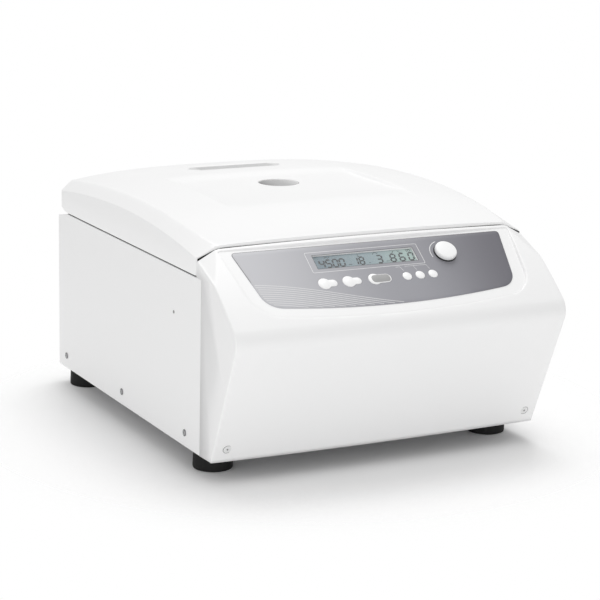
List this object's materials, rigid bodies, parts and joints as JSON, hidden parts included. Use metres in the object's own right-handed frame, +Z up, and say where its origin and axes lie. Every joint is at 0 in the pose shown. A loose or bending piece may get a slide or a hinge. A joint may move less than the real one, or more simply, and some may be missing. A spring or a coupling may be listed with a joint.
{
  "type": "microplate centrifuge",
  "caption": "Bench centrifuge for microplates: white case on rubber feet, hinged lid with sight window, sloping control face with display, keys and knob, and a swing-out plate rotor.",
  "frame": {"origin": "on the floor under the middle of the bounding box", "axes": "+X to the right as seen from the front, +Y from front to rear, +Z up"},
  "size_m": [0.4336, 0.5435, 0.2891],
  "materials": {
    "white_enamel": "smooth white enamel on sheet steel",
    "white_moulding": "smooth white moulding, satin",
    "lid_white": "smooth white moulding",
    "overlay_grey": "printed film, light to mid grey",
    "display_glass": "clear window over the display",
    "display_dark": "dark display module",
    "board_green": "circuit board",
    "black_plastic": "black moulding",
    "inlet_black": "black moulding, slightly glossy",
    "encoder_steel": "turned steel",
    "knob_ring_black": "black ring",
    "key_white": "smooth white keys",
    "liner_grey": "light grey moulding",
    "sight_clear": "clear sight glass",
    "grille_grey": "grey moulded grille",
    "hinge_steel": "plated steel",
    "pin_steel": "ground steel",
    "rubber_black": "black rubber",
    "gasket_grey": "soft grey seal",
    "bowl_steel": "drawn stainless steel",
    "guard_paint": "grey primer on thick steel",
    "base_zinc": "zinc-plated sheet",
    "cast_aluminium": "cast aluminium",
    "rotor_aluminium": "anodised aluminium",
    "pin_metal": "plated pins",
    "guard_chrome": "plated wire",
    "screw_steel": "plated screws",
    "plug_grey": "grey plug"
  },
  "bodies": {
    "case": {"left_side_panel": "white_enamel", "right_side_panel": "white_enamel", "rear_panel": "white_enamel", "top_deck": "white_enamel", "front_panel": "white_moulding", "control_overlay": "overlay_grey", "display_window": "display_glass", "display_module": "display_dark", "control_board": "board_green", "power_board": "board_green", "key_switches": "black_plastic", "latch_housing": "black_plastic", "latch_motor": "black_plastic", "power_parts": "black_plastic", "fan_frame": "black_plastic", "switch_bezel": "black_plastic", "mains_inlet": "inlet_black", "knob_encoder": "encoder_steel", "knob_bezel": "knob_ring_black", "hinge_brackets": "hinge_steel", "hinge_pins": "pin_steel", "motor_bearings": "pin_steel", "lid_bumpers": "rubber_black", "bowl_boot": "rubber_black", "motor_dampers": "rubber_black", "rubber_feet": "rubber_black", "chamber_gasket": "gasket_grey", "chamber_bowl": "bowl_steel", "guard_ring": "guard_paint", "base_pan": "base_zinc", "motor_plate": "cast_aluminium", "motor_housing": "cast_aluminium", "inlet_pins": "pin_metal", "fan_guard": "guard_chrome", "case_screws": "screw_steel", "release_plug": "plug_grey"},
    "lid": {"lid_shell": "lid_white", "lid_liner": "liner_grey", "sight_tube": "liner_grey", "sight_glass": "sight_clear", "lid_air_grille": "grille_grey", "lid_hinge_arms": "hinge_steel", "lid_striker": "hinge_steel"},
    "rotor": {"drive_shaft": "pin_steel", "rotor_hub": "rotor_aluminium", "rotor_arms": "rotor_aluminium", "rotor_screws": "pin_steel", "rotor_nut": "pin_steel"},
    "left_bucket": {"left_bucket": "rotor_aluminium"},
    "right_bucket": {"right_bucket": "rotor_aluminium"},
    "knob": {"setting_knob": "key_white"},
    "pulse_button": {"pulse_key": "key_white"},
    "open_button": {"open_key": "key_white"},
    "start_button": {"start_key": "key_white"},
    "left_small_button": {"left_small_key": "key_white"},
    "middle_small_button": {"middle_small_key": "key_white"},
    "right_small_button": {"right_small_key": "key_white"},
    "bolt": {"latch_bolt": "hinge_steel"},
    "mains_rocker": {"power_switch": "inlet_black"},
    "fan": {"fan_wheel": "inlet_black"}
  },
  "joints": [
    {"name": "lid_hinge", "type": "hinge", "parent": "case", "child": "lid", "pos_m": [0, 0.25075, 0.24], "axis": [-1, 0, 0], "range_deg": [0, 78]},
    {"name": "rotor_spin", "type": "hinge", "parent": "case", "child": "rotor", "pos_m": [0, 0.06275, 0.174], "axis": [0, 0, 1], "continuous": true},
    {"name": "left_bucket_swing", "type": "hinge", "parent": "rotor", "child": "left_bucket", "pos_m": [-0.075, 0.06275, 0.174], "axis": [0, 1, 0], "range_deg": [0, 90]},
    {"name": "right_bucket_swing", "type": "hinge", "parent": "rotor", "child": "right_bucket", "pos_m": [0.075, 0.06275, 0.174], "axis": [0, -1, 0], "range_deg": [0, 90]},
    {"name": "knob_turn", "type": "hinge", "parent": "case", "child": "knob", "pos_m": [0.0908, -0.19137, 0.23897], "axis": [0, -0.5878, 0.809], "continuous": true},
    {"name": "pulse_press", "type": "slide", "parent": "case", "child": "pulse_button", "axis": [0, 0.5878, -0.809], "range_m": [0, 0.0008], "stiffness_N_per_m": 500},
    {"name": "open_press", "type": "slide", "parent": "case", "child": "open_button", "axis": [0, 0.5878, -0.809], "range_m": [0, 0.0008], "stiffness_N_per_m": 500},
    {"name": "start_press", "type": "slide", "parent": "case", "child": "start_button", "axis": [0, 0.5878, -0.809], "range_m": [0, 0.0008], "stiffness_N_per_m": 500},
    {"name": "left_small_press", "type": "slide", "parent": "case", "child": "left_small_button", "axis": [0, 0.5878, -0.809], "range_m": [0, 0.0008], "stiffness_N_per_m": 500},
    {"name": "middle_small_press", "type": "slide", "parent": "case", "child": "middle_small_button", "axis": [0, 0.5878, -0.809], "range_m": [0, 0.0008], "stiffness_N_per_m": 500},
    {"name": "right_small_press", "type": "slide", "parent": "case", "child": "right_small_button", "axis": [0, 0.5878, -0.809], "range_m": [0, 0.0008], "stiffness_N_per_m": 500},
    {"name": "latch_slide", "type": "slide", "parent": "case", "child": "bolt", "axis": [0, -1, 0], "range_m": [0, 0.009]},
    {"name": "mains_rock", "type": "hinge", "parent": "case", "child": "mains_rocker", "pos_m": [0.07, 0.26475, 0.069], "axis": [1, 0, 0], "range_deg": [0, 14]},
    {"name": "fan_spin", "type": "hinge", "parent": "case", "child": "fan", "pos_m": [-0.12, 0.25475, 0.099], "axis": [0, 1, 0], "continuous": true}
  ]
}
